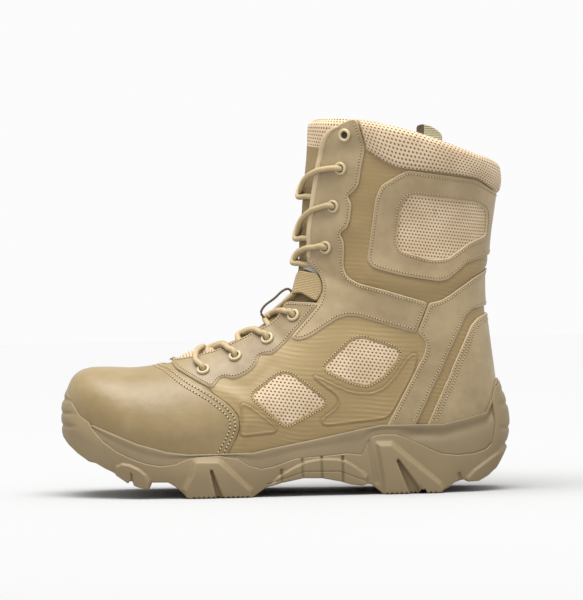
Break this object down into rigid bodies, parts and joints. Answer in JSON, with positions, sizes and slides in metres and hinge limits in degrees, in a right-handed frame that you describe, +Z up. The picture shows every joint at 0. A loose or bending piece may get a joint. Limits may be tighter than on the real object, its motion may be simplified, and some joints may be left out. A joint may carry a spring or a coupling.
{
  "type": "tactical desert boot",
  "caption": "Tan lace-up desert boot for the left foot, with leather overlays, mesh windows, padded collar, crossed laces and a lugged rubber sole.",
  "frame": {"origin": "on the floor under the middle of the boot's bounding box", "axes": "X runs along the boot with the toe at -X and the heel at +X, the lateral side faces -Y, the medial side faces +Y, Z is up"},
  "size_m": [0.3064, 0.1163, 0.2562],
  "materials": {
    "leather": "smooth tan leather, fine grain",
    "textile": "rippled tan textile",
    "mesh": "padded cream mesh",
    "outsole_rubber": "matt olive tan rubber",
    "midsole_rubber": "satin tan rubber",
    "lining": "napped lining",
    "eyelet_enamel": "cream enamel",
    "lace_cord": "round woven lace",
    "webbing": "ribbed webbing",
    "dark_cord": "thin dark cord"
  },
  "bodies": {
    "root": {"collar_cuff": "mesh", "collar_tab": "webbing", "counter_panel_lateral": "leather", "counter_panel_medial": "leather", "eyelet_lateral_1": "eyelet_enamel", "eyelet_lateral_2": "eyelet_enamel", "eyelet_lateral_3": "eyelet_enamel", "eyelet_lateral_4": "eyelet_enamel", "eyelet_lateral_5": "eyelet_enamel", "eyelet_lateral_6": "eyelet_enamel", "eyelet_lateral_7": "eyelet_enamel", "eyelet_lateral_8": "eyelet_enamel", "eyelet_medial_1": "eyelet_enamel", "eyelet_medial_2": "eyelet_enamel", "eyelet_medial_3": "eyelet_enamel", "eyelet_medial_4": "eyelet_enamel", "eyelet_medial_5": "eyelet_enamel", "eyelet_medial_6": "eyelet_enamel", "eyelet_medial_7": "eyelet_enamel", "eyelet_medial_8": "eyelet_enamel", "heel_counter": "leather", "insole": "lining", "keeper_cord": "dark_cord", "lace_bar": "lace_cord", "lace_cross_1": "lace_cord", "lace_cross_2": "lace_cord", "lace_cross_3": "lace_cord", "lace_cross_4": "lace_cord", "lace_cross_5": "lace_cord", "lace_cross_6": "lace_cord", "lace_loop_lateral": "webbing", "lace_loop_medial": "webbing", "lower_eyestay_lateral": "leather", "lower_eyestay_medial": "leather", "midsole": "midsole_rubber", "outsole": "outsole_rubber", "shaft_eyestay_lateral": "leather", "shaft_eyestay_medial": "leather", "shaft_frame_lateral": "leather", "shaft_frame_medial": "leather", "toe_cap": "leather", "tongue": "textile", "upper": "textile"}
  },
  "joints": []
}
